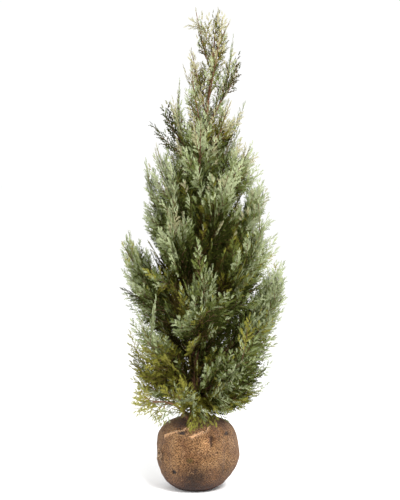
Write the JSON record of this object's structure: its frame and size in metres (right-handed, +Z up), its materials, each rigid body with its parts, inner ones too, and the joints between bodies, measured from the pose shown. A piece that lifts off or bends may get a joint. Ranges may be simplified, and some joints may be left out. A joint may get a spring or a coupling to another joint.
{
  "type": "root-balled columnar lawson cypress",
  "caption": "Young columnar cypress with a leaning stem and upright flat sprays, standing on its root ball wrapped in hessian.",
  "frame": {"origin": "middle of the flat underside that the root ball stands on", "axes": "+Z up along the plant, +X to the right and +Y away from the viewer of the picture"},
  "size_m": [0.5549, 0.5218, 1.5901],
  "materials": {
    "bark": "rough, fibrous red-brown bark",
    "hessian": "coarse open-weave jute cloth, soil-stained",
    "blue_green_foliage": "matt glaucous scale leaves",
    "yellow_green_foliage": "matt yellow-green scale leaves"
  },
  "bodies": {
    "root": {"root_ball": "hessian", "trunk": "bark", "hessian_collar": "hessian", "hessian_fold_left": "hessian", "hessian_fold_right": "hessian", "hessian_knot": "hessian", "bough_01": "bark", "bough_02": "bark", "bough_03": "bark", "bough_04": "bark", "bough_05": "bark", "bough_06": "bark", "bough_07": "bark", "bough_08": "bark", "bough_09": "bark", "bough_10": "bark", "bough_11": "bark", "bough_12": "bark", "bough_13": "bark", "bough_14": "bark", "bough_15": "bark", "bough_16": "bark", "bough_17": "bark", "bough_18": "bark", "bough_19": "bark", "bough_20": "bark", "foliage_01": "yellow_green_foliage", "foliage_02": "blue_green_foliage", "foliage_03": "blue_green_foliage", "foliage_04": "blue_green_foliage", "foliage_05": "yellow_green_foliage", "foliage_06": "blue_green_foliage", "foliage_07": "blue_green_foliage", "foliage_08": "blue_green_foliage", "foliage_09": "yellow_green_foliage", "foliage_10": "blue_green_foliage", "foliage_11": "blue_green_foliage", "foliage_12": "blue_green_foliage", "foliage_13": "yellow_green_foliage", "foliage_14": "blue_green_foliage", "foliage_15": "blue_green_foliage", "foliage_16": "blue_green_foliage", "foliage_17": "yellow_green_foliage", "foliage_18": "blue_green_foliage", "foliage_19": "blue_green_foliage", "foliage_20": "blue_green_foliage", "foliage_21": "yellow_green_foliage", "foliage_22": "blue_green_foliage", "foliage_23": "blue_green_foliage", "foliage_24": "blue_green_foliage", "foliage_25": "yellow_green_foliage", "foliage_26": "blue_green_foliage", "foliage_27": "blue_green_foliage", "foliage_28": "blue_green_foliage", "foliage_29": "yellow_green_foliage", "foliage_30": "blue_green_foliage", "foliage_31": "blue_green_foliage", "foliage_32": "blue_green_foliage", "foliage_33": "yellow_green_foliage", "foliage_leader": "blue_green_foliage"}
  },
  "joints": []
}
